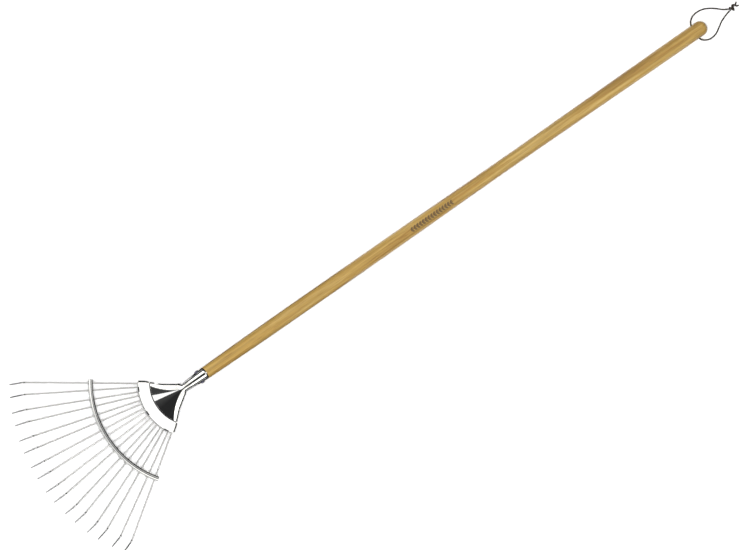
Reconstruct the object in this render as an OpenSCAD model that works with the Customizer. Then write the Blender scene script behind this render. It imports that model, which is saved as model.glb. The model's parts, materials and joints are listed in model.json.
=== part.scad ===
// Long-handled leaf rake: ash handle, pressed steel head, sixteen spring tines and a leather hanging loop.
// It lies as it would be laid down: tine tips and the rounded end of the handle touch the ground.
// +Z is up, +Y runs along the handle from the tines to the rounded end, X is across the tines.
// The origin is on the ground, under the middle of the rake without its hanging loop.
// The tines are radial lines through one point of the handle's axis, called the apex below.

/* [Handle] */
// Length of wood that shows, from the socket's mouth to the rounded end
handle_length = 1258; // [1000:1:1400]
// Diameter at the socket's mouth
mouth_d = 24.4; // [24:0.1:26]
// Diameter of the straight swelling above the head
swell_d = 28; // [26:0.1:30]
// Diameter at the slender middle
waist_d = 25.3; // [24:0.1:27]
// Largest diameter, near the rounded end
butt_d = 29.4; // [27:0.1:30]
// Diameter of the cross hole for the hanging loop
loop_hole_d = 4.6; // [4.2:0.1:6]
// Distance of that hole from the rounded end
loop_hole_from_end = 27; // [24:1:32]

/* [Head] */
// Thickness of the pressed sheet and of the clamp plate
sheet_t = 1.2; // [0.8:0.1:1.4]
// Depth of the socket, from its mouth to the apex of the tines
socket_depth = 38; // [34:1:44]
// Outer diameter of the socket's mouth
socket_mouth_d = 24; // [23.6:0.1:24.4]
// Outer diameter of the neck, where the socket opens into the fan
neck_d = 18; // [17:0.1:19]
// Radius of the fan's inner step, about the apex
step_radius = 80; // [76:1:82]
// Radius of the fan's front edge, about the apex
band_radius = 104; // [102:1:106]
// Diameter of the cross rivet's shank
rivet_d = 5; // [4:0.1:6]

/* [Tines] */
// Diameter of the spring wire
wire_d = 3; // [2.4:0.1:3.2]
// Mean angle between neighbouring tines
tine_pitch = 4.6; // [4.3:0.1:4.6]
// Angle by which each tine leans towards its partner in a pair
pair_lean = 0.25; // [0:0.05:0.4]
// Radius of the corner where the tips turn down, about the apex
corner_radius = 327; // [300:1:350]
// Length of the turned-down tips
tip_length = 44; // [36:1:50]
// Angle by which the tips turn down
tip_angle = 66; // [55:1:75]

/* [Brace] */
// Radius of the brace's middle line, about the apex
brace_radius = 195; // [180:1:215]
// Width of the brace
brace_w = 10; // [8:0.5:12]
// Angle by which the brace reaches past the outermost tines
brace_overhang = 2; // [1:0.5:3]

/* [Hanging loop] */
// Diameter of the leather thong
thong_d = 3; // [2.4:0.1:3]

/* [Hidden] */
$fn = 48;
TINES = 16;

wire_r = wire_d / 2;
gap = 0.1;                      // between parts that are held together
tine_bend_r = 5;                // centre line of the bend at a tip
root_bend_r = 2.5;              // centre line of the bend at a root
root_radius = 85.5;             // where the hooked roots turn down, about the apex
root_drop = 5.5;                // how far a hooked root reaches below the tines
bend_swell = 0.02;              // a bend is this much thicker than the straight wire on each side of it
bend_lap = 0.2;                 // and the straight wire runs this far into it
tip_end_r = 1;                  // of the chamfered tip's flat end
tip_chamfer = 0.6;

// Heights: the tips touch the ground, and so does the handle just before its rounded end.
tip_reach = tip_length * cos(tip_angle);
tip_drop = tip_length * sin(tip_angle);
apex_z = tip_drop + tip_end_r * cos(tip_angle);
dome_length = 13;               // of the handle's rounded end
handle_end = socket_depth + handle_length;
handle_slope = asin((apex_z - butt_d / 2) / (handle_end - dome_length));

// Along the rake: the origin is midway between the foremost tips and the handle's end.
front_tine_angle = tine_pitch / 2 + pair_lean;
front_reach = (corner_radius + tip_reach) * cos(front_tine_angle) + wire_r;
apex_y = (front_reach - handle_end * cos(handle_slope)) / 2;

function tine_name(i) = str("tine_", i < 10 ? "0" : "", i);
function tine_angle(i) = (i - (TINES + 1) / 2) * tine_pitch + (i % 2 == 1 ? 1 : -1) * pair_lean;
function mix(a, b, t) = a + (b - a) * t;
function clamp01(t) = max(0, min(1, t));
function smooth(t) = let (c = clamp01(t)) c * c * (3 - 2 * c);
function unit(v) = v / norm(v);

// Moves children from the apex's own frame, which is level, into place.
module at_apex() {
    translate([0, apex_y, apex_z]) children();
}

// The children's +Z runs along the handle, from the apex to the rounded end.
module along_handle() {
    at_apex() rotate([-90 - handle_slope, 0, 0]) children();
}

// The children's +X runs from the apex out along a tine, and +Z stays up.
module along_tine(angle) {
    at_apex() rotate([0, 0, angle - 90]) children();
}

// ---- handle ----

swell_from = 220;               // the straight swelling, above the socket's mouth
swell_to = 430;
waist_at = 740;
tenon_length = 39;
rivet_from_mouth = 14;

// Radius of the handle at a height h above the socket's mouth.
function handle_r(h) =
    h < swell_from ? mix(mouth_d, swell_d, sin(90 * h / swell_from)) / 2
    : h < swell_to ? swell_d / 2
    : h < waist_at ? mix(swell_d, waist_d, smooth((h - swell_to) / (waist_at - swell_to))) / 2
    : mix(waist_d, butt_d, smooth((h - waist_at) / (handle_length - dome_length - waist_at))) / 2;

// Outer radius of the socket at a height z above the apex, and the inner radius after it.
function socket_r(z) = mix(neck_d, socket_mouth_d, (z + neck_at) / (socket_depth + neck_at)) / 2;
function bore_r(z) = socket_r(z) - sheet_t;

function handle_outline() =
    let (dome_from = handle_length - dome_length)
    concat(
        [[0, socket_depth - tenon_length]],
        [[bore_r(socket_depth - tenon_length) - gap, socket_depth - tenon_length]],
        [[bore_r(socket_depth) - gap, socket_depth + gap]],
        [[handle_r(0), socket_depth + gap]],
        [for (h = [20:20:swell_from]) [handle_r(h), socket_depth + h]],
        [for (h = [swell_to:31:waist_at - 1]) [handle_r(h), socket_depth + h]],
        [for (k = [0:16]) let (h = mix(waist_at, dome_from, k / 16)) [handle_r(h), socket_depth + h]],
        [for (a = [9:9:81]) [butt_d / 2 * cos(a), socket_depth + dome_from + dome_length * sin(a)]],
        [[0, handle_end]]);

module handle() {
    color("burlywood") along_handle() difference() {
        rotate_extrude() polygon(handle_outline());
        translate([0, 0, socket_depth - rivet_from_mouth]) cross_hole(rivet_d);
        translate([0, 0, handle_end - loop_hole_from_end]) cross_hole(loop_hole_d);
    }
}

module cross_hole(d) {
    rotate([0, 90, 0]) cylinder(h = 2 * butt_d, d = d, center = true);
}

module socket_rivet() {
    head_d = 9;
    head_h = 2.8;
    seat = socket_r(socket_depth - rivet_from_mouth) - 0.3;
    color("silver") along_handle() translate([0, 0, socket_depth - rivet_from_mouth])
        rotate([0, 90, 0]) {
            cylinder(h = 2 * seat + 0.2, d = rivet_d - 0.02, center = true);
            for (side = [0, 180]) rotate([side, 0, 0]) translate([0, 0, seat])
                intersection() {
                    cylinder(h = head_h, d = head_d);
                    translate([0, 0, head_h - head_d * 0.8]) sphere(r = head_d * 0.8);
                }
        }
}

// ---- head: one sheet, rolled into an open-seamed socket and opened out into a fan ----

neck_at = 15;                   // in front of the apex
fan_from = 10.3;                // the fan's straight sides would meet here, in front of the apex
fan_slope = 0.69;               // half its width for each unit of length
band_overlap = 4.1;             // the front band reaches this far past the outermost tines' middle lines
throat_from = 2.2;              // close to the neck the sides are a little wider: they would meet here,
throat_slope = 0.58;            // and have this slope,
throat_half_w = 13;             // and the opening sheet is never narrower than this on each side
opens_at = 2;                   // in front of the apex, the socket starts to open
unrolled_at = 26;               // in front of the apex, the sheet is fully opened out
seam_angle = 172;               // half the angle that the rolled socket wraps round
band_z = wire_r + gap + sheet_t / 2;
flange_r = 1.5;                 // bend radius of the turned-down sides
flange_angle = 57;              // how far they turn down
flange_leg = 4.5;               // their straight depth beyond that bend
flange_from = 0.75;             // share of the half sheet that is fan, before the flange
flange_run = flange_r * sin(flange_angle) + flange_leg * cos(flange_angle);
step_run = 3;                   // length of the step up to the front band
dish_z = -1;                    // height of the fan's floor where it meets that step
ridge_from = 17;                // a soft ridge starts here and widens and grows towards the step
ridge_h = 1.8;
ridge_half_w = 31.2;
shoulder_from = 14;             // the floor's edges start here and run outwards along a curve,
shoulder_curve = 1.5;
shoulder_half_w = 41.5;         // to this far from the middle at the step
shoulder_slope = 0.25;          // the sides fall away beyond them

function band_half_w(s) = s * sin(-tine_angle(1)) + band_overlap;
function side_half_w(s) = max(fan_slope * (s - fan_from), throat_slope * (s - throat_from));
function fan_half_w(s) = max(throat_half_w, min(side_half_w(s), band_half_w(s)));
function open_share(s) = smooth((s - opens_at) / (unrolled_at - opens_at));
function ridge_share(s) = clamp01((s - ridge_from) / (step_radius - ridge_from));
function shoulder_x(s) =
    shoulder_half_w * pow(clamp01((s - shoulder_from) / (step_radius - shoulder_from)), shoulder_curve);

// Middle of the sheet across the open fan, as [x, z], where q runs from 0 to 1 over the half width.
function fan_top(s, q) =
    let (x = (fan_half_w(s) - flange_run) * q,
         floor_z = mix(neck_d / 2 - sheet_t / 2, dish_z, clamp01((s - neck_at) / (step_radius - neck_at))),
         share = ridge_share(s),
         ridge_z = ridge_h * share * (1 + cos(180 * min(1, x / (ridge_half_w * share + 0.01)))) / 2,
         beyond = max(0, x - shoulder_x(s)),
         fall = shoulder_slope * beyond * beyond / (beyond + 1.5),
         up = smooth((s - step_radius) / step_run + 0.75))
    [x, mix(floor_z + ridge_z - fall, band_z, up)];

function fan_point(s, u) =
    let (a = abs(u), way = u < 0 ? -1 : 1)
    a <= flange_from
    ? let (p = fan_top(s, a / flange_from)) [way * p[0], p[1]]
    : let (edge = fan_top(s, 1),
           t = 2 * (a - flange_from) / (1 - flange_from),
           turn = flange_angle * min(1, t),
           leg = flange_leg * max(0, t - 1))
      [way * (edge[0] + flange_r * sin(turn) + leg * cos(turn)),
       edge[1] - flange_r * (1 - cos(turn)) - leg * sin(turn)];

// Middle of the sheet. s is the distance in front of the apex and u runs from -1 to 1 across the sheet.
function sheet_point(s, u) =
    let (r = socket_r(-s) - sheet_t / 2,
         up = r * cos(seam_angle * u),
         ring = [r * sin(seam_angle * u), up + min(s, opens_at) * tan(handle_slope)],
         open = fan_point(s, u),
         p = ring * (1 - open_share(s)) + open * open_share(s),
         arc = sqrt(max(0, s * s - p[0] * p[0])),
         bowed = mix(s, arc, open_share(s)))
    [p[0], up * tan(handle_slope) * (1 - open_share(s)) - bowed, p[1]];

function sheet_normal(s, u) =
    let (d = 0.02,
         along = sheet_point(s + d, u) - sheet_point(s - d, u),
         across = sheet_point(s, min(1, u + d)) - sheet_point(s, max(-1, u - d)))
    unit(cross(across, -along));

// Distances in front of the apex at which the sheet is sampled.
sheet_stations = concat(
    [-socket_depth, -20, 0],
    [for (s = [3:3:27]) s],
    [for (s = [31:4:step_radius - 6]) s],
    [for (k = [0:6]) step_radius + step_run * (k / 6 - 0.75)],
    [mix(step_radius, band_radius, 0.5), band_radius]);
sheet_columns = 48;

module head_shell() {
    rows = len(sheet_stations);
    row_length = sheet_columns + 1;
    side = rows * row_length;
    points = [for (face = [0.5, -0.5], s = sheet_stations, k = [0:sheet_columns])
        let (u = 2 * k / sheet_columns - 1)
        sheet_point(s, u) + face * sheet_t * sheet_normal(s, u)];
    skin = [for (j = [0:rows - 2], k = [0:sheet_columns - 1])
        let (a = j * row_length + k)
        [a, a + 1, a + row_length + 1, a + row_length]];
    faces = concat(
        [for (f = skin) f],
        [for (f = skin) [side + f[3], side + f[2], side + f[1], side + f[0]]],
        [for (k = [0:sheet_columns - 1]) [k + 1, k, side + k, side + k + 1]],
        [for (k = [0:sheet_columns - 1]) let (a = (rows - 1) * row_length + k)
            [a, a + 1, side + a + 1, side + a]],
        [for (j = [0:rows - 2]) let (a = j * row_length)
            [a, a + row_length, side + a + row_length, side + a]],
        [for (j = [0:rows - 2]) let (a = j * row_length + sheet_columns)
            [a + row_length, a, side + a, side + a + row_length]]);
    color("gainsboro") at_apex() difference() {
        polyhedron(points, faces);
        translate([0, socket_depth - rivet_from_mouth, -(socket_depth - rivet_from_mouth) * tan(handle_slope)])
            cross_hole(rivet_d);
    }
}

// ---- clamp plate: holds the tines' roots under the fan's front band ----

plate_back = root_radius + root_bend_r;
plate_front = band_radius - 0.5;
plate_half_angle = 35.6;
tab_half_angle = 1.6;           // where a tab passes between two tines
tab_head_half_angle = 2.6;      // where it lies on the band
tab_leg = 3;                    // how far it reaches back over the band
tab_droop = 0.3;                // its top falls this much towards the front
tab_spacing = 6;                // in tine pitches

// A ring sector about the apex, drawn from an outline in radius and height.
module sector(half_angle) {
    rotate([0, 0, -90 - half_angle]) rotate_extrude(angle = 2 * half_angle, $fn = 180) children();
}

module clamp_plate() {
    plate_top = -wire_r - gap;
    tab_foot = band_z + sheet_t / 2 + gap;
    fold_at = band_radius + gap;
    inset = 0.05;               // keeps the folded parts' faces off the plate's
    color("lightgray") at_apex() {
        sector(plate_half_angle) translate([plate_back, plate_top - sheet_t])
            square([plate_front - plate_back, sheet_t]);
        for (k = [-1, 0, 1]) rotate([0, 0, k * tab_spacing * tine_pitch]) {
            sector(tab_half_angle) polygon([
                [plate_front - 1, plate_top - sheet_t + inset], [fold_at + sheet_t, plate_top - sheet_t + inset],
                [fold_at + sheet_t, tab_foot + sheet_t / 2], [fold_at, tab_foot + sheet_t / 2],
                [fold_at, plate_top - inset], [plate_front - 1, plate_top - inset]]);
            sector(tab_head_half_angle) polygon([
                [fold_at - tab_leg, tab_foot], [fold_at + sheet_t + inset, tab_foot],
                [fold_at + sheet_t + inset, tab_foot + sheet_t - tab_droop / 2],
                [fold_at - tab_leg, tab_foot + sheet_t + tab_droop / 2]]);
        }
    }
}

// ---- tines ----

module tine(i) {
    corner = tine_bend_r * tan(tip_angle / 2);
    straight_from = root_radius + root_bend_r;
    straight_to = corner_radius - corner;
    color("silver") along_tine(tine_angle(i)) {
        translate([straight_from - bend_lap, 0, 0]) rotate([0, 90, 0])
            cylinder(h = straight_to - straight_from + 2 * bend_lap, r = wire_r);
        translate([straight_from, 0, -root_bend_r]) bend(root_bend_r, 90, 90);
        translate([root_radius, 0, -root_drop])
            cylinder(h = root_drop - root_bend_r + bend_lap, r = wire_r);
        translate([straight_to, 0, -tine_bend_r]) bend(tine_bend_r, 90 - tip_angle, tip_angle);
        translate([corner_radius + tip_reach, 0, -tip_drop]) rotate([0, tip_angle - 90, 0])
            blunt_wire(tip_length - corner + bend_lap);
    }
}

// A straight wire with its end chamfered, from that end at the origin up along +Z.
module blunt_wire(length) {
    rotate_extrude() polygon([[0, 0], [tip_end_r, 0], [wire_r, tip_chamfer], [wire_r, length], [0, length]]);
}

// A bend of the wire in the X-Z plane, about the origin, from an angle above +X on through a sweep.
module bend(radius, from, sweep) {
    rotate([90, 0, 0]) rotate([0, 0, from]) rotate_extrude(angle = sweep)
        translate([radius, 0]) circle(r = wire_r + bend_swell);
}

// ---- brace: a rounded channel over the tines, which pass through both its legs ----

module brace() {
    wall = 1.2;
    shoulder_z = -0.8;
    foot_z = -3.6;
    outer_r = brace_w / 2;
    half_angle = -tine_angle(1) + brace_overhang;
    color("silver") difference() {
        at_apex() sector(half_angle) translate([brace_radius, 0]) difference() {
            channel_outline(outer_r, shoulder_z, foot_z);
            channel_outline(outer_r - wall, shoulder_z, foot_z - 1);
        }
        for (i = [1:TINES]) along_tine(tine_angle(i))
            translate([brace_radius, 0, 0]) rotate([0, 90, 0])
                cylinder(h = 2 * brace_w, r = wire_r + gap, center = true);
    }
}

module channel_outline(r, shoulder_z, foot_z) {
    translate([-r, foot_z]) square([2 * r, shoulder_z - foot_z]);
    translate([0, shoulder_z]) intersection() {
        circle(r = r);
        translate([-r, -1]) square([2 * r, r + 1]);
    }
}

// ---- hanging loop: a leather thong through the cross hole, its ends tied in one knot ----

loop_hole_y = apex_y + (handle_end - loop_hole_from_end) * cos(handle_slope);
loop_hole_z = apex_z - (handle_end - loop_hole_from_end) * sin(handle_slope);
thong_r = thong_d / 2;

// The thong's route from the knot round through the hole and back. Each point is the distance
// across and beyond the hole, and the height of the thong's underside above the ground.
loop_route = [
    [2.5, 93, 3], [-4.5, 81, 0.5], [-12.5, 71.5, 0], [-19, 63, 0], [-24.5, 54, 0], [-28.5, 43, 0],
    [-30, 31, 0.6], [-28.8, 20, 3.5], [-25.2, 10.6, 8], [-20.6, 4, 11.8], [-15.8, 0.8, 13.4],
    [-11, 0, 13.5], [-4, 0, 13.5], [4, 0, 13.5], [11, 0, 13.5], [15.8, 0.8, 13.4],
    [20.4, 4, 11.8], [24.8, 10.4, 8], [28.2, 20, 3.5], [28.8, 31, 0.6], [25.8, 43, 0],
    [20, 53, 0], [14, 63, 0], [9.5, 74, 0.3], [6.5, 84, 1.5], [4.5, 93, 3]];
knot_centre = [3.5, 99, 5];
knot_half_length = 9;
knot_r = 5;
knot_tails = [[-1.5, 113], [5.5, 114]];

function route_point(p) = [p[0], loop_hole_y + p[1], p[2] + thong_r];

module hang_loop() {
    sides = 8;
    line = [for (p = loop_route) route_point(p)];
    last = len(line) - 1;
    points = [for (i = [0:last])
        let (along = unit(line[min(i + 1, last)] - line[max(i - 1, 0)]),
             across = unit(cross(along, [0, 0, 1])),
             up = cross(across, along))
        for (k = [0:sides - 1])
            line[i] + thong_r * (cos(360 * k / sides) * across + sin(360 * k / sides) * up)];
    faces = concat(
        [[for (k = [0:sides - 1]) k]],
        [[for (k = [sides - 1:-1:0]) last * sides + k]],
        [for (i = [0:last - 1], k = [0:sides - 1])
            let (n = (k + 1) % sides)
            [i * sides + k, (i + 1) * sides + k, (i + 1) * sides + n, i * sides + n]]);
    color("saddlebrown") polyhedron(points, faces);
}

module loop_knot() {
    color("sienna") translate([0, loop_hole_y, 0]) {
        translate(knot_centre) rotate([-90, 0, 0]) rotate_extrude()
            polygon(concat([[0, -knot_half_length]],
                [for (a = [-75:15:75]) [knot_r * cos(a), knot_half_length * sin(a)]],
                [[0, knot_half_length]]));
        for (tail = knot_tails) {
            root = [knot_centre[0], knot_centre[1] + 4];
            way = tail - root;
            translate([root[0], root[1], thong_r]) rotate([0, 90, atan2(way[1], way[0])])
                cylinder(h = norm(way), r = thong_r);
        }
    }
}

handle();
head_shell();
clamp_plate();
brace();
socket_rivet();
for (i = [1:TINES]) {
    tine(i);
}
hang_loop();
loop_knot();
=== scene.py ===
"""Leaf rake lying on a pale studio floor, tine tips down. Metres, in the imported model's own frame."""
import json
import math

import bpy
from mathutils import Matrix, Vector


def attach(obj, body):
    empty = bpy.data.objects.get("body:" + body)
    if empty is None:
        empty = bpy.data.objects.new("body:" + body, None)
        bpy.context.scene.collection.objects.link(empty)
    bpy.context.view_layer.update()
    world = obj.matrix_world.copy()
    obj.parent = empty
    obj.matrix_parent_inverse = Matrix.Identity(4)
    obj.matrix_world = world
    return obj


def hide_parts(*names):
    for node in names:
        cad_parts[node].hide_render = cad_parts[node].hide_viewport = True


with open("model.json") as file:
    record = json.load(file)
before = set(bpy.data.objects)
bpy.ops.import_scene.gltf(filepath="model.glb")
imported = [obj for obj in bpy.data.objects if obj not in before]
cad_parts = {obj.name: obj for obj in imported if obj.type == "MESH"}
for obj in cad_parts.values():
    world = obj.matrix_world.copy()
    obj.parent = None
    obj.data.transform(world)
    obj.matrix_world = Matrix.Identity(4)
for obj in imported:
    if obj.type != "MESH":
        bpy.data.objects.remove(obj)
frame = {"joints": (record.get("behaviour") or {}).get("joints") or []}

MM = 0.001
SCENE = bpy.context.scene
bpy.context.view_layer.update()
HOLE = Vector(frame["joints"][0]["pos_m"])      # the middle of the handle's cross hole for the thong

# ---- the design's driving sizes, in millimetres, as the CAD source has them ----

HANDLE_LENGTH = 1258.0
MOUTH_D, SWELL_D, WAIST_D, BUTT_D = 24.4, 28.0, 25.3, 29.4
SWELL_FROM, SWELL_TO, WAIST_AT = 220.0, 430.0, 740.0
DOME_LENGTH = 13.0
LOOP_HOLE_D = 4.6
LOOP_HOLE_FROM_END = 27.0
SHEET_T = 1.2
SOCKET_DEPTH, SOCKET_MOUTH_D, NECK_D, NECK_AT = 38.0, 24.0, 18.0, 15.0
STEP_RADIUS, BAND_RADIUS = 80.0, 104.0
RIVET_FROM_MOUTH, RIVET_D = 14.0, 5.0
TINES, TINE_PITCH, PAIR_LEAN = 16, 4.6, 0.25
WIRE_R, CORNER_RADIUS, TIP_LENGTH, TIP_ANGLE = 1.5, 327.0, 44.0, 66.0
TINE_BEND_R, ROOT_BEND_R, ROOT_RADIUS, ROOT_DROP = 5.0, 2.5, 85.5, 5.5
BRACE_RADIUS, BRACE_W, BRACE_OVERHANG = 195.0, 10.0, 2.0
THONG_R = 1.5

GAP = 0.1                 # between parts that are held together
TENON_END = -1.0          # beyond the apex along the handle
HANDLE_END = SOCKET_DEPTH + HANDLE_LENGTH
TIP_REACH = TIP_LENGTH * math.cos(math.radians(TIP_ANGLE))
TIP_DROP = TIP_LENGTH * math.sin(math.radians(TIP_ANGLE))
APEX_Z = TIP_DROP + math.cos(math.radians(TIP_ANGLE))
HANDLE_SLOPE = math.asin((APEX_Z - BUTT_D / 2) / (HANDLE_END - DOME_LENGTH))
HANDLE_WAY = Vector((0, math.cos(HANDLE_SLOPE), -math.sin(HANDLE_SLOPE)))
APEX = HOLE / MM - (HANDLE_END - LOOP_HOLE_FROM_END) * HANDLE_WAY     # where the tines' lines meet


def mix(a, b, t):
    return a + (b - a) * t


def clamp01(t):
    return max(0.0, min(1.0, t))


def smooth(t):
    t = clamp01(t)
    return t * t * (3 - 2 * t)


# ---- camera: a long lens, looking steeply down from beyond the tines ----

CAMERA_LENS = 300.0
CAMERA_DISTANCE = 12.17
CAMERA_AIM = Vector((0.0327, -0.0383, 0.02))
CAMERA_TILT = 16.5        # from straight down, towards the tines
CAMERA_SIDE = -2.2        # and towards +X
CAMERA_ROLL = 55.16       # turns the handle to the upper right


def make_camera():
    tilt, side, roll = (math.radians(a) for a in (CAMERA_TILT, CAMERA_SIDE, CAMERA_ROLL))
    back = Vector((math.sin(side), -math.sin(tilt) * math.cos(side), math.cos(tilt) * math.cos(side)))
    right = Vector((0, 1, 0)).cross(back).normalized()
    up = back.cross(right)
    right, up = (
        math.cos(roll) * right + math.sin(roll) * up,
        math.cos(roll) * up - math.sin(roll) * right,
    )
    camera = bpy.data.objects.new("camera", bpy.data.cameras.new("camera"))
    camera.data.lens = CAMERA_LENS
    camera.data.clip_end = 100
    camera.matrix_world = Matrix((right, up, back)).transposed().to_4x4()
    camera.location = CAMERA_AIM + back * CAMERA_DISTANCE
    SCENE.collection.objects.link(camera)
    SCENE.camera = camera


make_camera()

# ---- making meshes ----


def new_mesh(name, points, faces, material, body, node):
    """A piece from points in millimetres. It rides on body and stands for node."""
    mesh = bpy.data.meshes.new(name)
    mesh.from_pydata([Vector(p) * MM for p in points], [], faces)
    mesh.validate()
    mesh.update()
    mesh.shade_smooth()
    piece = bpy.data.objects.new(name, mesh)
    SCENE.collection.objects.link(piece)
    mesh.materials.append(material)
    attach(piece, body)
    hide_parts(node)
    return piece


def grid_faces(rows, columns, around=False):
    """Quads of a grid of points, row after row. around joins each row's end to its start."""
    faces = []
    for j in range(rows - 1):
        for k in range(columns if around else columns - 1):
            n = (k + 1) % columns
            faces.append((j * columns + k, j * columns + n, (j + 1) * columns + n, (j + 1) * columns + k))
    return faces


def join_skins(skins):
    """Points and faces of several skins as one."""
    points, faces = [], []
    for more, skin in skins:
        faces += [tuple(len(points) + i for i in face) for face in skin]
        points += more
    return points, faces


def spread(low, high, count):
    """Evenly spaced numbers from low to high."""
    return [mix(low, high, k / (count - 1)) for k in range(count)]


def capped_tube(rings):
    """Points and faces of a closed skin over rings of equal length."""
    size = len(rings[0])
    points = [p for ring in rings for p in ring]
    faces = grid_faces(len(rings), size, around=True)
    faces.append(tuple(reversed(range(size))))
    faces.append(tuple((len(rings) - 1) * size + k for k in range(size)))
    return points, faces


def full_turn(sides):
    """Evenly spaced angles, once round."""
    return [2 * math.pi * k / sides for k in range(sides)]


def sweep(line, radii, sides):
    """Rings round a line of points, with one radius for each, turned as little as possible along it."""
    rings = []
    side = None
    for i, p in enumerate(line):
        along = (line[min(i + 1, len(line) - 1)] - line[max(i - 1, 0)]).normalized()
        if side is None:
            side = along.orthogonal().normalized()
        side = (side - along * side.dot(along)).normalized()
        up = along.cross(side)
        rings.append([p + radii[i] * (math.cos(a) * side + math.sin(a) * up) for a in full_turn(sides)])
    return rings


def curve_through(points, steps):
    """A smooth line through points: a Catmull-Rom spline with steps pieces between neighbours."""
    ends = [2 * points[0] - points[1]] + points + [2 * points[-1] - points[-2]]
    line = []
    for a, b, c, d in zip(ends, ends[1:], ends[2:], ends[3:]):
        for k in range(steps):
            t = k / steps
            line.append(0.5 * (2 * b + (c - a) * t + (2 * a - 5 * b + 4 * c - d) * t * t
                               + (3 * b - a - 3 * c + d) * t * t * t))
    return line + [points[-1]]


# ---- materials ----


class Nodes:
    """A short way to write a material's nodes."""

    def __init__(self, name):
        self.material = bpy.data.materials.new(name)
        self.material.use_nodes = True
        self.tree = self.material.node_tree
        self.shader = self.tree.nodes["Principled BSDF"]
        self.place = self.add("ShaderNodeTexCoord").outputs["Object"]

    def add(self, kind, **values):
        node = self.tree.nodes.new(kind)
        for key, value in values.items():
            if key.startswith("set_"):
                setattr(node, key[4:], value)
            else:
                self.put(node.inputs[key.replace("_", " ")], value)
        return node

    def put(self, socket, value):
        if isinstance(value, bpy.types.NodeSocket):
            self.tree.links.new(value, socket)
        else:
            socket.default_value = value

    def stretched(self, scale):
        return self.add("ShaderNodeMapping", Vector=self.place, Scale=scale).outputs["Vector"]

    def noise(self, vector, scale, detail=4.0, roughness=0.55, distortion=0.0):
        return self.add("ShaderNodeTexNoise", Vector=vector, Scale=scale, Detail=detail,
                        Roughness=roughness, Distortion=distortion).outputs["Fac"]

    def math(self, operation, a, b=0.0):
        node = self.add("ShaderNodeMath", set_operation=operation)
        self.put(node.inputs[0], a)
        self.put(node.inputs[1], b)
        return node.outputs[0]

    def split(self, vector):
        return self.add("ShaderNodeSeparateXYZ", Vector=vector).outputs

    def ramp(self, value, *stops):
        node = self.add("ShaderNodeValToRGB", Fac=value)
        while len(node.color_ramp.elements) < len(stops):
            node.color_ramp.elements.new(0.5)
        for element, (place, colour) in zip(node.color_ramp.elements, stops):
            element.position = place
            element.color = (*colour, 1.0) if len(colour) == 3 else colour
        return node.outputs["Color"]

    def range(self, value, low, high, from_low=0.0, from_high=1.0):
        node = self.add("ShaderNodeMapRange", Value=value)
        limits = {"From Min": from_low, "From Max": from_high, "To Min": low, "To Max": high}
        for key, number in limits.items():
            node.inputs[key].default_value = number
        return node.outputs["Result"]

    def blend(self, kind, factor, a, b):
        node = self.add("ShaderNodeMix", set_data_type="RGBA", set_blend_type=kind)
        self.put(node.inputs[0], factor)
        self.put(node.inputs[6], a)
        self.put(node.inputs[7], b)
        return node.outputs[2]

    def bump(self, height, strength, distance, under=None):
        node = self.add("ShaderNodeBump", Height=height, Strength=strength, Distance=distance)
        if under is not None:
            self.put(node.inputs["Normal"], under)
        return node.outputs["Normal"]

    def finish(self, **values):
        for key, value in values.items():
            self.put(self.shader.inputs[key.replace("_", " ")], value)
        return self.material


def grey(value):
    return (value, value, value)


ASH_DARK, ASH_MIDDLE, ASH_PALE = (0.330, 0.185, 0.036), (0.425, 0.268, 0.062), (0.520, 0.358, 0.115)
BURNT, BURNT_SHARE = (0.060, 0.038, 0.020, 1.0), 0.86


def wood_material():
    """Waxed ash: long straight grain with darker early-wood lines, short pores and slow colour changes."""
    n = Nodes("ash_wood")
    grain = n.noise(n.stretched((1.0, 0.012, 1.0)), 230.0, 6.0, 0.6, 0.2)
    bands = n.noise(n.stretched((1.0, 0.03, 1.0)), 120.0, 3.0, 0.5, 0.6)
    clouds = n.noise(n.stretched((1.0, 0.25, 1.0)), 9.0, 2.0)
    pores = n.noise(n.stretched((1.0, 0.03, 1.0)), 900.0, 2.0, 0.5)
    colour = n.ramp(bands, (0.30, ASH_DARK), (0.50, ASH_MIDDLE), (0.72, ASH_PALE))
    colour = n.blend("MULTIPLY", 0.60, colour, n.ramp(grain, (0.36, grey(0.62)), (0.58, grey(1.0))))
    colour = n.blend("MULTIPLY", 0.35, colour, n.ramp(pores, (0.36, (0.45, 0.34, 0.22)), (0.46, grey(1.0))))
    colour = n.blend("MULTIPLY", 0.5, colour, n.ramp(clouds, (0.35, (0.86, 0.80, 0.70)), (0.65, grey(1.0))))
    burnt = burnt_sprig(n)
    colour = n.blend("MIX", n.math("MULTIPLY", burnt, BURNT_SHARE), colour, BURNT)
    normal = n.bump(grain, 0.15, 0.0004, n.bump(pores, 0.25, 0.0002))
    normal = n.bump(n.math("SUBTRACT", 1.0, burnt), 0.5, 0.0003, normal)
    rough = n.range(grain, 0.50, 0.38)
    return n.finish(Base_Color=colour, Roughness=rough, Normal=normal, Specular_IOR_Level=0.35,
                    Coat_Weight=0.1, Coat_Roughness=0.35)


SPRIG_FROM, SPRIG_X = 66.0, 0.8         # where the burnt mark starts along Y, and its middle along X
SPRIG_PITCH, SPRIG_PAIRS = 7.0, 15
LEAF_HALF_LENGTH, LEAF_HALF_W, LEAF_TURN, LEAF_OUT = 4.4, 1.9, 38.0, 2.5


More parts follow.
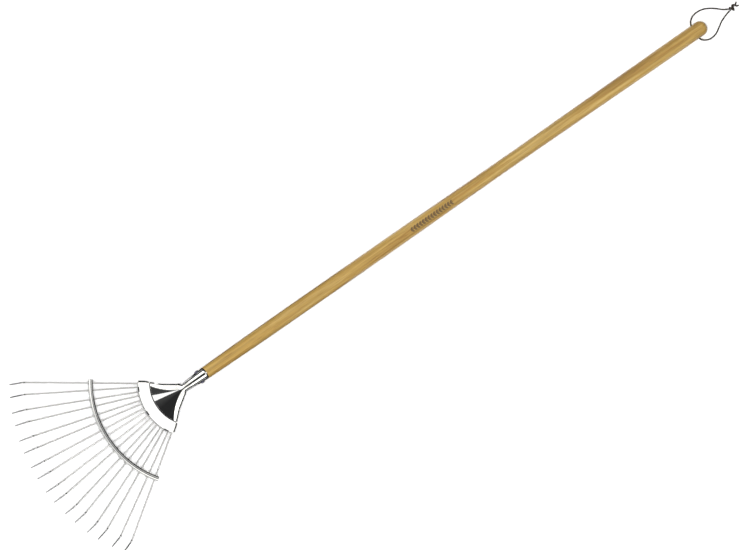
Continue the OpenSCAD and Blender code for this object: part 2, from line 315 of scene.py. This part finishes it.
def burnt_sprig(n):
    """Mask of a plain sprig of leaf pairs, along the top of the handle."""
    x, y, z = n.split(n.place)
    cell = n.math("DIVIDE", n.math("SUBTRACT", n.math("DIVIDE", y, MM), SPRIG_FROM), SPRIG_PITCH)
    along = n.math("MULTIPLY", n.math("SUBTRACT", n.math("FRACT", cell), 0.5), SPRIG_PITCH)
    x = n.math("ABSOLUTE", n.math("SUBTRACT", n.math("DIVIDE", x, MM), SPRIG_X))
    out = n.math("SUBTRACT", x, LEAF_OUT)
    turn = math.radians(LEAF_TURN)
    p = n.math("ADD", n.math("MULTIPLY", along, math.cos(turn)), n.math("MULTIPLY", out, math.sin(turn)))
    q = n.math("SUBTRACT", n.math("MULTIPLY", out, math.cos(turn)), n.math("MULTIPLY", along, math.sin(turn)))
    q = n.math("ABSOLUTE", q)
    part = n.math("DIVIDE", p, LEAF_HALF_LENGTH)
    edge = n.math("MULTIPLY", n.math("SUBTRACT", 1.0, n.math("MULTIPLY", part, part)), LEAF_HALF_W)
    leaf = n.range(n.math("SUBTRACT", edge, q), 0.0, 1.0, -0.1, 0.25)
    leaf = n.math("MULTIPLY", leaf, n.range(q, 0.25, 1.0, 0.05, 0.2))
    stem = n.range(x, 1.0, 0.0, 0.4, 0.7)
    mark = n.math("MAXIMUM", leaf, stem)
    inside = n.math("MULTIPLY", n.math("GREATER_THAN", cell, 0.0), n.math("LESS_THAN", cell, SPRIG_PAIRS))
    inside = n.math("MULTIPLY", inside, n.math("GREATER_THAN", z, 0.030))
    return n.math("MULTIPLY", mark, inside)


BEND_DARK_REFLECTION = (323.5, 326.5)      # painted dark reflection at each bend, between two radii measured from the apex


def steel_material(name, roughness, tint, painted_reflection=None):
    """Polished stainless steel: near mirror, with faint buffing lines and a few fine wipes."""
    n = Nodes(name)
    wipes = n.noise(n.place, 90.0, 3.0)
    lines = n.noise(n.stretched((1.0, 0.05, 1.0)), 1500.0, 2.0)
    rough = n.range(wipes, roughness * 0.7, roughness * 1.6, 0.3, 0.7)
    colour = n.ramp(wipes, (0.3, [c * 0.96 for c in tint]), (0.7, tint))
    # A dark reflection is painted here as a ring at the wire's bends.
    if painted_reflection:
        colour = n.blend("MULTIPLY", dark_reflection_ring(n, *painted_reflection), colour, (0.16, 0.155, 0.15, 1.0))
    normal = n.bump(lines, 0.04, 0.00003)
    return n.finish(Base_Color=colour, Metallic=1.0, Roughness=rough, Normal=normal)


def dark_reflection_ring(n, inner, outer):
    """A ring about the apex, between two radii in millimetres, with a soft uneven edge. It marks where a dark
    reflection is painted.
    """
    x, y, z = n.split(n.place)
    y = n.math("SUBTRACT", y, APEX.y * MM)
    r = n.math("SQRT", n.math("ADD", n.math("MULTIPLY", x, x), n.math("MULTIPLY", y, y)))
    r = n.math("DIVIDE", r, MM)
    r = n.math("ADD", r, n.range(n.noise(n.place, 400.0), -0.6, 0.6))
    return n.math("MULTIPLY", n.range(r, 0.0, 1.0, inner - 0.5, inner + 0.5),
                  n.range(r, 1.0, 0.0, outer - 0.5, outer + 0.5))


def leather_material():
    """Waxed round thong: nearly black brown, with a fine crackle and paler rubbed high spots."""
    n = Nodes("leather")
    mottle = n.noise(n.place, 420.0, 4.0)
    pebble = n.add("ShaderNodeTexVoronoi", Vector=n.place, Scale=2600.0).outputs["Distance"]
    worn = (0.085, 0.052, 0.034)
    colour = n.ramp(mottle, (0.35, (0.012, 0.009, 0.007)), (0.62, (0.032, 0.022, 0.016)), (0.8, worn))
    normal = n.bump(pebble, 0.35, 0.00012, n.bump(mottle, 0.3, 0.0002))
    rough = n.range(mottle, 0.5, 0.7)
    return n.finish(Base_Color=colour, Roughness=rough, Normal=normal, Specular_IOR_Level=0.25)


# The tints suit the studio's lights. Those of the wire, brace, plate and rivet are darker than the real metals.
# They are painted shade, darker copies of one steel.
WOOD = wood_material()
STEEL = steel_material("polished_steel", 0.03, (0.90, 0.90, 0.885))
WIRE = steel_material("spring_wire", 0.12, (0.55, 0.55, 0.545), BEND_DARK_REFLECTION)
BRACE_STEEL = steel_material("brace_steel", 0.12, (0.55, 0.55, 0.54))
PLATE_STEEL = steel_material("plate_steel", 0.15, (0.50, 0.50, 0.51))
RIVET = steel_material("rivet_steel", 0.25, (0.16, 0.16, 0.22))
LEATHER = leather_material()

# ---- hanging loop: the thong's route, as the CAD source has it, and its knot ----

# Distance across and beyond the hole, and height of the thong's underside, in millimetres.
LOOP_ROUTE = [
    (2.5, 93, 3), (-4.5, 81, 0.5), (-12.5, 71.5, 0), (-19, 63, 0), (-24.5, 54, 0), (-28.5, 43, 0),
    (-30, 31, 0.6), (-28.8, 20, 3.5), (-25.2, 10.6, 8), (-20.6, 4, 11.8), (-15.8, 0.8, 13.4),
    (-11, 0, 13.5), (-4, 0, 13.5), (4, 0, 13.5), (11, 0, 13.5), (15.8, 0.8, 13.4),
    (20.4, 4, 11.8), (24.8, 10.4, 8), (28.2, 20, 3.5), (28.8, 31, 0.6), (25.8, 43, 0),
    (20, 53, 0), (14, 63, 0), (9.5, 74, 0.3), (6.5, 84, 1.5), (4.5, 93, 3)]
KNOT_CENTRE = Vector((3.5, 99, 5))
KNOT_FROM, KNOT_STEP, KNOT_STEPS = -60, 35, 13          # degrees of winding round the knot's middle
KNOT_ACROSS, KNOT_UP, KNOT_PITCH = 4.2, 3.4, 1.05       # radii of the winding, and its climb for each step


def beyond_hole(x, y, z):
    """A point y beyond the cross hole, x to its side and z above the ground."""
    return Vector((x, HOLE.y / MM + y, z))


def make_thong():
    line = curve_through([beyond_hole(x, y, z + THONG_R) for x, y, z in LOOP_ROUTE], 6)
    points, faces = capped_tube(sweep(line, [THONG_R] * len(line), 20))
    thong = new_mesh("thong", points, faces, LEATHER, "loop", "hang_loop")
    knot = make_knot()


def make_knot():
    """Both ends of the thong, wound loosely round each other, with two short tails. It stands for a tied knot."""
    strands = []
    for shift in (-1.0, 1.0):
        turn = []
        for k in range(KNOT_STEPS):
            a = math.radians(KNOT_FROM + KNOT_STEP * k)
            turn.append(Vector((KNOT_ACROSS * math.sin(a) + 0.9 * shift,
                                -6.2 + KNOT_PITCH * k + 0.8 * shift,
                                KNOT_UP * math.cos(a))))
        tail = [Vector((2.2 * shift - 0.5, 9.5, -2.2)), Vector((3.4 * shift - 1.2, 12.5, -3.2)),
                Vector((4.0 * shift - 1.5, 14.3, -3.4))]
        line = [beyond_hole(*(KNOT_CENTRE + p)) for p in curve_through(turn + tail, 6)]
        strands.append(capped_tube(sweep(line, [THONG_R] * len(line), 16)))
    points, faces = join_skins(strands)
    return new_mesh("knot", points, faces, LEATHER, "loop", "loop_knot")


make_thong()

# ---- handle ----


def along_handle(x, up, z):
    """A point z beyond the apex along the handle's axis, x to its side and up above it."""
    return APEX + Vector((x, z * math.cos(HANDLE_SLOPE) + up * math.sin(HANDLE_SLOPE),
                          up * math.cos(HANDLE_SLOPE) - z * math.sin(HANDLE_SLOPE)))


def handle_r(h):
    """Radius of the handle at a height h above the socket's mouth."""
    if h < SWELL_FROM:
        return mix(MOUTH_D, SWELL_D, math.sin(math.pi / 2 * h / SWELL_FROM)) / 2
    if h < SWELL_TO:
        return SWELL_D / 2
    if h < WAIST_AT:
        return mix(SWELL_D, WAIST_D, smooth((h - SWELL_TO) / (WAIST_AT - SWELL_TO))) / 2
    return mix(WAIST_D, BUTT_D, smooth((h - WAIST_AT) / (HANDLE_LENGTH - DOME_LENGTH - WAIST_AT))) / 2


def socket_r(z):
    """Outer radius of the socket at a height z above the apex."""
    return mix(NECK_D, SOCKET_MOUTH_D, (z + NECK_AT) / (SOCKET_DEPTH + NECK_AT)) / 2


def handle_outline():
    """Radius and height beyond the apex, from the tenon's end to the rounded end."""
    dome_from = HANDLE_LENGTH - DOME_LENGTH
    tenon_r = socket_r(TENON_END) - SHEET_T - GAP
    outline = [(0.01, TENON_END), (tenon_r - 0.5, TENON_END), (tenon_r, TENON_END + 0.6)]
    outline += [(socket_r(SOCKET_DEPTH - 0.3) - SHEET_T - 0.1, SOCKET_DEPTH - 0.3)]
    shoulder = SOCKET_DEPTH + GAP
    outline += [(socket_r(SOCKET_DEPTH) - SHEET_T, shoulder), (MOUTH_D / 2 - 0.3, shoulder)]
    outline += [(MOUTH_D / 2 - 0.09, shoulder + 0.09), (MOUTH_D / 2, shoulder + 0.3)]
    outline += [(handle_r(h), SOCKET_DEPTH + h) for h in range(1, 20, 3)]
    steps = 110
    for k in range(steps + 1):
        h = mix(20.0, dome_from, k / steps)
        outline.append((handle_r(h), SOCKET_DEPTH + h))
    for k in range(1, 24):
        a = math.pi / 2 * k / 24
        outline.append((BUTT_D / 2 * math.cos(a), SOCKET_DEPTH + dome_from + DOME_LENGTH * math.sin(a)))
    return outline + [(0.01, HANDLE_END)]


def make_handle():
    sides = 96
    rings = []
    for r, z in handle_outline():
        rings.append([along_handle(r * math.cos(a), r * math.sin(a), z) for a in full_turn(sides)])
    points, faces = capped_tube(rings)
    faces = [tuple(reversed(f)) for f in faces]
    handle = new_mesh("ash_handle", points, faces, WOOD, "rake", "handle")
    drill = make_drill()
    cut = handle.modifiers.new("cross_hole", "BOOLEAN")
    cut.object = drill
    cut.solver = "EXACT"
    bpy.context.view_layer.objects.active = handle
    bpy.context.view_layer.update()
    apply_modifiers(handle)
    bpy.data.objects.remove(drill)


def make_drill():
    """A spool-shaped cutter: the cross hole with its two edges eased."""
    half = BUTT_D / 2
    r = LOOP_HOLE_D / 2
    outline = [(0.01, -half - 4), (r + 4.2, -half - 4), (r + 0.6, -half), (r, -half + 1.2),
               (r, half - 1.2), (r + 0.6, half), (r + 4.2, half + 4), (0.01, half + 4)]
    rings = []
    for r, x in outline:
        rings.append([HOLE / MM + Vector((x, r * math.cos(a), r * math.sin(a))) for a in full_turn(32)])
    points, faces = capped_tube(rings)
    mesh = bpy.data.meshes.new("drill")
    mesh.from_pydata([p * MM for p in points], [], faces)
    drill = bpy.data.objects.new("drill", mesh)
    SCENE.collection.objects.link(drill)
    return drill


def apply_modifiers(piece):
    """Makes the piece's modified mesh its own."""
    depsgraph = bpy.context.evaluated_depsgraph_get()
    mesh = bpy.data.meshes.new_from_object(piece.evaluated_get(depsgraph))
    piece.modifiers.clear()
    piece.data = mesh


make_handle()

# ---- head: one sheet, rolled into an open-seamed socket and opened out into a fan ----

FAN_FROM, FAN_SLOPE, BAND_OVERLAP, UNROLLED_AT, SEAM_ANGLE = 10.3, 0.69, 4.1, 26.0, 172.0
THROAT_FROM, THROAT_SLOPE, THROAT_HALF_W = 2.2, 0.58, 13.0
BAND_Z = WIRE_R + GAP + SHEET_T / 2
FLANGE_R, FLANGE_ANGLE, FLANGE_LEG, FLANGE_FROM = 1.5, math.radians(57), 4.5, 0.75
FLANGE_RUN = FLANGE_R * math.sin(FLANGE_ANGLE) + FLANGE_LEG * math.cos(FLANGE_ANGLE)
OPENS_AT = 2.0
STEP_RUN, DISH_Z = 3.0, -1.0
RIDGE_FROM, RIDGE_H, RIDGE_HALF_W = 17.0, 1.8, 31.2
SHOULDER_FROM, SHOULDER_CURVE, SHOULDER_HALF_W, SHOULDER_SLOPE = 14.0, 1.5, 41.5, 0.25
OUTER_TINE = math.radians((TINES - 1) / 2 * TINE_PITCH - PAIR_LEAN)


def fan_half_w(s):
    """Half the open fan's width, with its flanges, at a distance s in front of the apex."""
    sides = max(FAN_SLOPE * (s - FAN_FROM), THROAT_SLOPE * (s - THROAT_FROM))
    return max(THROAT_HALF_W, min(sides, s * math.sin(OUTER_TINE) + BAND_OVERLAP))


def open_share(s):
    """How far the sheet is opened out: 0 is the rolled socket, 1 is the fan."""
    return smooth((s - OPENS_AT) / (UNROLLED_AT - OPENS_AT))


def fan_top(s, q):
    """Middle of the sheet across the open fan. q runs from 0 to 1 over the half width."""
    x = (fan_half_w(s) - FLANGE_RUN) * q
    floor_z = mix(NECK_D / 2 - SHEET_T / 2, DISH_Z, clamp01((s - NECK_AT) / (STEP_RADIUS - NECK_AT)))
    share = clamp01((s - RIDGE_FROM) / (STEP_RADIUS - RIDGE_FROM))
    ridge_z = RIDGE_H * share * (1 + math.cos(math.pi * min(1.0, x / (RIDGE_HALF_W * share + 0.01)))) / 2
    shoulder_share = clamp01((s - SHOULDER_FROM) / (STEP_RADIUS - SHOULDER_FROM))
    beyond = max(0.0, x - SHOULDER_HALF_W * shoulder_share ** SHOULDER_CURVE)
    fall = SHOULDER_SLOPE * beyond * beyond / (beyond + 1.5)
    return x, mix(floor_z + ridge_z - fall, BAND_Z, smooth((s - STEP_RADIUS) / STEP_RUN + 0.75))


def fan_point(s, u):
    """Middle of the open sheet, flanges included, as distance across and height. u runs from -1 to 1."""
    a, way = abs(u), -1 if u < 0 else 1
    if a <= FLANGE_FROM:
        x, z = fan_top(s, a / FLANGE_FROM)
        return way * x, z
    x, z = fan_top(s, 1.0)
    t = 2 * (a - FLANGE_FROM) / (1 - FLANGE_FROM)
    turn = FLANGE_ANGLE * min(1.0, t)
    leg = FLANGE_LEG * max(0.0, t - 1)
    return (way * (x + FLANGE_R * math.sin(turn) + leg * math.cos(turn)),
            z - FLANGE_R * (1 - math.cos(turn)) - leg * math.sin(turn))


def sheet_point(s, u):
    """Middle of the sheet at a distance s in front of the apex. u runs from -1 to 1 across the sheet."""
    r = socket_r(-s) - SHEET_T / 2
    turn = math.radians(SEAM_ANGLE * u)
    up = r * math.cos(turn)
    lean = math.tan(HANDLE_SLOPE)
    ring = Vector((r * math.sin(turn), up + min(s, OPENS_AT) * lean))
    p = ring.lerp(Vector(fan_point(s, u)), open_share(s))
    y = mix(s, math.sqrt(max(0.0, s * s - p.x * p.x)), open_share(s))
    return Vector((p.x, up * lean * (1 - open_share(s)) - y, p.y))


def sheet_frame(s, u):
    """The sheet's middle point, its outward normal, and its directions forward and across."""
    d = 0.01
    forward = (sheet_point(s + d, u) - sheet_point(s - d, u)).normalized()
    across = (sheet_point(s, min(1.0, u + d)) - sheet_point(s, max(-1.0, u - d))).normalized()
    return sheet_point(s, u), across.cross(-forward).normalized(), forward, across


def head_stations():
    """Distances in front of the apex, and half the sheet's thickness there, which rounds off both rims."""
    half = SHEET_T / 2
    rim = []
    for a in (90, 60, 30, 0):
        inset = half * (1 - math.sin(math.radians(a)))
        rim.append((inset, half * max(0.02, math.cos(math.radians(a)))))
    # Both ends repeat a rim's last ring. The zero-width faces there bear on the shading along the rims.
    between = spread(-SOCKET_DEPTH + half, 1.0, 12)
    between += spread(OPENS_AT, STEP_RADIUS - STEP_RUN, 96)
    between += spread(STEP_RADIUS - STEP_RUN + 0.3, STEP_RADIUS + 1, 26)
    between += spread(STEP_RADIUS + 3, BAND_RADIUS - half, 10)
    return ([(-SOCKET_DEPTH + inset, thick) for inset, thick in rim]
            + [(s, half) for s in between]
            + [(BAND_RADIUS - inset, thick) for inset, thick in reversed(rim)])


def make_head():
    columns = [2 * k / 160 - 1 for k in range(161)]
    turns = [math.pi * k / 6 for k in range(1, 6)]
    rings = []
    for s, thick in head_stations():
        cross = [sheet_frame(s, u) for u in columns]
        ring = [p + thick * n for p, n, _, _ in cross]
        p, n, _, a = cross[-1]
        ring += [p + thick * (math.cos(t) * n + math.sin(t) * a) for t in turns]
        ring += [p + -thick * n for p, n, _, _ in reversed(cross)]
        p, n, _, a = cross[0]
        ring += [p - thick * (math.cos(t) * n + math.sin(t) * a) for t in turns]
        rings.append([APEX + q for q in ring])
    points, faces = capped_tube(rings)
    new_mesh("head", points, faces, STEEL, "rake", "head_shell")


make_head()

# ---- tines ----


def tine_angle(i):
    lean = PAIR_LEAN if i % 2 == 1 else -PAIR_LEAN
    return math.radians((i - (TINES + 1) / 2) * TINE_PITCH + lean)


def along_tine(angle, r, z):
    return APEX + Vector((r * math.sin(angle), -r * math.cos(angle), z))


def wire_line():
    """The tine's middle line as radius and height, and its own radius at each point."""
    tip = math.radians(TIP_ANGLE)
    line = [(ROOT_RADIUS, -ROOT_DROP + z) for z in (0, 0.15, 0.5, 1.5, ROOT_DROP - ROOT_BEND_R)]
    line += [(ROOT_RADIUS + ROOT_BEND_R * (1 - math.cos(a)), -ROOT_BEND_R * (1 - math.sin(a)))
             for a in spread(0.1, math.pi / 2, 8)]
    start, stop = line[-1][0], CORNER_RADIUS - TINE_BEND_R * math.tan(tip / 2)
    line += [(r, 0.0) for r in spread(start + 4, stop, 12)]
    line += [(stop + TINE_BEND_R * math.sin(a), -TINE_BEND_R * (1 - math.cos(a)))
             for a in spread(tip / 10, tip, 10)]
    way = Vector((math.cos(tip), -math.sin(tip)))
    end = Vector((CORNER_RADIUS + TIP_REACH, -TIP_DROP))
    line += [tuple(end - way * d) for d in (24.0, 12.0, 4.0, 1.2, 0.6, 0.3, 0.1, 0.0)]
    radii = [WIRE_R] * len(line)
    radii[:2] = [WIRE_R - 0.3, WIRE_R - 0.08]
    radii[-4:] = [WIRE_R, WIRE_R - 0.15, WIRE_R - 0.38, WIRE_R - 0.6]
    return line, radii


def make_tines():
    line, radii = wire_line()
    for i in range(1, TINES + 1):
        angle = tine_angle(i)
        rings = sweep([along_tine(angle, r, z) for r, z in line], radii, 24)
        points, faces = capped_tube(rings)
        name = f"tine_{i:02d}"
        new_mesh("wire_" + name, points, faces, WIRE, "rake", name)


make_tines()

# ---- brace: a rounded channel over the tines ----

BRACE_WALL, BRACE_SHOULDER_Z, BRACE_FOOT_Z = 1.2, -0.8, -3.6


def brace_outline():
    """The channel's section, as distance beyond its middle line and height, once round."""
    outer, inner = BRACE_W / 2, BRACE_W / 2 - BRACE_WALL
    arch = [math.radians(a) for a in range(90, -91, -5)]
    outline = [(outer * math.sin(a), BRACE_SHOULDER_Z + outer * math.cos(a)) for a in arch]
    outline += [(-outer, BRACE_FOOT_Z + 0.35), (-outer + 0.35, BRACE_FOOT_Z), (-inner - 0.2, BRACE_FOOT_Z),
                (-inner, BRACE_FOOT_Z + 0.2)]
    outline += [(inner * math.sin(a), BRACE_SHOULDER_Z + inner * math.cos(a)) for a in reversed(arch)]
    return outline + [(inner, BRACE_FOOT_Z + 0.2), (inner + 0.2, BRACE_FOOT_Z), (outer - 0.35, BRACE_FOOT_Z),
                      (outer, BRACE_FOOT_Z + 0.35)]


def make_brace():
    half_angle = -tine_angle(1) + math.radians(BRACE_OVERHANG)
    outline = brace_outline()
    rings = []
    for angle in spread(-half_angle, half_angle, 97):
        rings.append([along_tine(angle, BRACE_RADIUS + r, z) for r, z in outline])
    points, faces = capped_tube(rings)
    brace = new_mesh("brace_bar", points, faces, BRACE_STEEL, "rake", "brace")
    ease_edges(brace, 0.25)


def ease_edges(piece, width):
    """Rounds a piece's sharp edges, and keeps its flat faces flat."""
    bevel = piece.modifiers.new("eased_edges", "BEVEL")
    bevel.width = width * MM
    bevel.segments = 2
    bevel.limit_method = "ANGLE"
    bevel.angle_limit = math.radians(50)
    bevel.harden_normals = True


# ---- cross rivet ----

RIVET_HEAD_R, RIVET_HEAD_H = 4.5, 2.8
RIVET_RIM = 0.5           # straight part of a head's side, below its dome
RIVET_SET = 0.3           # the heads are hammered this far into the socket


def make_rivet():
    z = SOCKET_DEPTH - RIVET_FROM_MOUTH
    seat = socket_r(z) - RIVET_SET
    shank_r = RIVET_D / 2 - 0.01
    side = [(shank_r, 0.0), (shank_r, seat), (RIVET_HEAD_R - 0.15, seat), (RIVET_HEAD_R, seat + 0.15)]
    side += [(RIVET_HEAD_R * math.cos(a), seat + RIVET_RIM + (RIVET_HEAD_H - RIVET_RIM) * math.sin(a))
             for a in spread(0, 1.56, 9)]
    outline = [(r, -x) for r, x in reversed(side)] + side[1:]
    rings = []
    for r, x in outline:
        rings.append([along_handle(x, r * math.cos(a), z + r * math.sin(a)) for a in full_turn(40)])
    points, faces = capped_tube(rings)
    new_mesh("rivet", points, faces, RIVET, "rake", "socket_rivet")


# ---- clamp plate ----

PLATE_BACK, PLATE_FRONT, PLATE_HALF_ANGLE = ROOT_RADIUS + ROOT_BEND_R, BAND_RADIUS - 0.5, 35.6
TAB_LEG, TAB_SPACING, TAB_BEND_R, TAB_DROOP = 3.0, 6, 0.85, 5.0
TAB_LEG_HALF_ANGLE = 1.6        # where a tab passes between two tines
TAB_HALF_ANGLE = 2.6            # where it lies on the band
TAB_BEND_STEPS = 7


def bent_strip(line, half_angle, middle, steps):
    """A sheet with the given middle line of radius and height, running round the apex. Closed skin."""
    half = SHEET_T / 2
    upper, lower = [], []
    for i, p in enumerate(line):
        way = (line[min(i + 1, len(line) - 1)] - line[max(i - 1, 0)]).normalized()
        normal = Vector((-way.y, way.x))
        upper.append(p + half * normal)
        lower.append(p - half * normal)
    outline = upper + lower[::-1]
    rings = []
    for angle in spread(middle - half_angle, middle + half_angle, steps):
        rings.append([along_tine(angle, r, z) for r, z in outline])
    return capped_tube(rings)


def tab_line():
    """Middle line of a tab: out of the plate, up past the band's edge and back over the band."""
    low = -WIRE_R - GAP - SHEET_T / 2
    high = BAND_Z + SHEET_T + GAP
    leg_at = BAND_RADIUS + GAP + SHEET_T / 2
    bend_at = leg_at - TAB_BEND_R
    line = [Vector((PLATE_FRONT - 1, low))]
    for a in (math.radians(a) for a in spread(-90, 0, TAB_BEND_STEPS)):
        line.append(Vector((bend_at + TAB_BEND_R * math.cos(a), low + TAB_BEND_R * (1 + math.sin(a)))))
    for a in (math.radians(a) for a in spread(0, 90 - TAB_DROOP, TAB_BEND_STEPS)):
        line.append(Vector((bend_at + TAB_BEND_R * math.cos(a), high - TAB_BEND_R * (1 - math.sin(a)))))
    back = Vector((-math.cos(math.radians(TAB_DROOP)), math.sin(math.radians(TAB_DROOP))))
    bend_end = line[-1]
    return line + [bend_end + back * (TAB_LEG * share) for share in spread(0.25, 1.0, 4)]


def make_clamp_plate():
    """A strip under the band, with three tabs folded up round the band's front edge."""
    plate_z = -WIRE_R - GAP - SHEET_T / 2
    plate = [Vector((r, plate_z)) for r in spread(PLATE_BACK, PLATE_FRONT, 6)]
    tab = tab_line()
    split = 1 + TAB_BEND_STEPS
    leg, head = tab[:split + 1], tab[split:]
    pieces = [bent_strip(plate, math.radians(PLATE_HALF_ANGLE), 0.0, 61)]
    for k in (-1, 0, 1):
        middle = math.radians(k * TAB_SPACING * TINE_PITCH)
        pieces.append(bent_strip(leg, math.radians(TAB_LEG_HALF_ANGLE), middle, 7))
        pieces.append(bent_strip(head, math.radians(TAB_HALF_ANGLE), middle, 9))
    points, faces = join_skins(pieces)
    plate = new_mesh("clamp", points, faces, PLATE_STEEL, "rake", "clamp_plate")
    ease_edges(plate, 0.2)


make_brace()
make_rivet()
make_clamp_plate()

# ---- studio ----


def lay_card(name, outline, height, material):
    """A flat face with corners in metres, at a height just under the ground."""
    mesh = bpy.data.meshes.new(name)
    mesh.from_pydata([(x, y, 0) for x, y in outline], [], [tuple(range(len(outline)))])
    mesh.materials.append(material)
    card = bpy.data.objects.new(name, mesh)
    card.location.z = height
    SCENE.collection.objects.link(card)
    return card


def make_floor():
    n = Nodes("floor")
    shade = n.ramp(n.noise(n.place, 3.0, 2.0), (0.3, grey(0.955)), (0.7, grey(0.965)))
    n.finish(Base_Color=shade, Roughness=0.9, Specular_IOR_Level=0.1)
    half = 12.0
    lay_card("floor", [(-half, -half), (half, -half), (half, half), (-half, half)], -0.0005, n.material)


HEAD_AT = APEX * MM + Vector((0, -0.07, 0))
CREAM = (1.0, 0.985, 0.93)
DIM_STEPS, DIM_STEP = 6, 3.0            # a faint light that fades out across the fan's dark floor
DIM_FROM, DIM_RADIANCE = -9, 0.035
TIPS_RING = (0.349, 0.48)               # the turned-down tips stand over this ring about the apex, in metres


def add_softbox(name, across, along, radiance, shown_in, distance=5.0, tint=(1.0, 1.0, 1.0)):
    """A flat light seen from the head between two angles across, towards +X, and two along, towards +Y."""
    a, half_a = math.radians(sum(across) / 2), math.radians((across[1] - across[0]) / 2)
    b, half_b = math.radians(sum(along) / 2), math.radians((along[1] - along[0]) / 2)
    way = Vector((math.sin(a) * math.cos(b), math.sin(b), math.cos(a) * math.cos(b)))
    right = Vector((math.cos(a), 0, -math.sin(a)))
    light = bpy.data.lights.new(name, "AREA")
    light.shape = "RECTANGLE"
    light.size = 2 * distance * math.tan(half_a)
    light.size_y = 2 * distance * math.tan(half_b)
    light.energy = radiance * math.pi * light.size * light.size_y
    light.color = tint
    lamp = bpy.data.objects.new(name, light)
    lamp.matrix_world = Matrix((right, way.cross(right), way)).transposed().to_4x4()
    lamp.location = HEAD_AT + way * distance
    lamp.visible_camera = False
    lamp.visible_glossy = shown_in == "gloss"
    lamp.visible_diffuse = shown_in == "diffuse"
    SCENE.collection.objects.link(lamp)


def add_flag(name, outline, shade=0.012):
    """A matt dark card on the floor that only reflections show, so that shiny edges have something dark."""
    n = Nodes(name)
    colour = n.ramp(n.noise(n.place, 5.0), (0.3, grey(shade * 0.9)), (0.7, grey(shade * 1.1)))
    n.finish(Base_Color=colour, Roughness=1.0, Specular_IOR_Level=0.0)
    card = lay_card(name, [(x, APEX.y * MM - s) for x, s in outline], -0.0003, n.material)
    card.visible_camera = False
    card.visible_diffuse = False
    card.visible_shadow = False


def ring_outline(inner, outer, start, stop):
    """Part of a ring about the apex, between two radii in metres and two angles in radians."""
    ring = [(inner * math.sin(a), inner * math.cos(a)) for a in spread(start, stop, 20)]
    return ring + [(outer * math.sin(a), outer * math.cos(a)) for a in spread(stop, start, 20)]


def make_studio():
    world = bpy.data.worlds.new("studio")
    world.use_nodes = True
    background = world.node_tree.nodes["Background"]
    background.inputs["Color"].default_value = (0.95, 0.97, 1.0, 1.0)
    background.inputs["Strength"].default_value = 0.024
    SCENE.world = world
    far = 12.0
    add_softbox("softbox_back", (-55, 55), (12.9, 34), 1.3, "gloss", far)
    add_softbox("softbox_left", (-61, -17.5), (-50, 50), 1.10, "gloss", far, CREAM)
    add_softbox("softbox_left_near", (-18, -9), (-20, 6.5), 1.25, "gloss", far)
    add_softbox("softbox_right", (21.7, 61), (-50, 50), 1.10, "gloss", far, CREAM)
    for k in range(DIM_STEPS):
        across = (DIM_FROM + DIM_STEP * k, DIM_FROM + DIM_STEP * (k + 1))
        add_softbox(f"softbox_dim_{k}", across, (-20, 8), DIM_RADIANCE * (1 - k / DIM_STEPS), "gloss", far)
    add_softbox("softbox_front", (-55, 55), (-82, -20), 1.25, "gloss", far)
    add_softbox("key", (-8, 4), (-22, -10), 82.0, "diffuse", 10.0)
    add_softbox("fill_top", (-60, 60), (-60, 60), 0.40, "diffuse", 8.0)
    add_flag("flag_head", [
        (-0.5, -0.4), (-0.5, 0.036), (-0.091, 0.036), (-0.094, 0.008), (-0.105, -0.028), (-0.052, -0.028),
        (-0.052, 0.015), (0.050, 0.015), (0.050, -0.028), (0.085, -0.028), (0.09, 0.007), (0.5, 0.007),
        (0.5, -0.4)])
    add_flag("flag_tips", ring_outline(*TIPS_RING, -0.44, 0.40), 0.40)
    add_flag("flag_tips_left", ring_outline(*TIPS_RING, -0.80, -0.44), 0.10)
    add_flag("flag_tips_right", ring_outline(*TIPS_RING, 0.40, 0.80), 0.10)
    SCENE.view_settings.view_transform = "Standard"


make_floor()
make_studio()
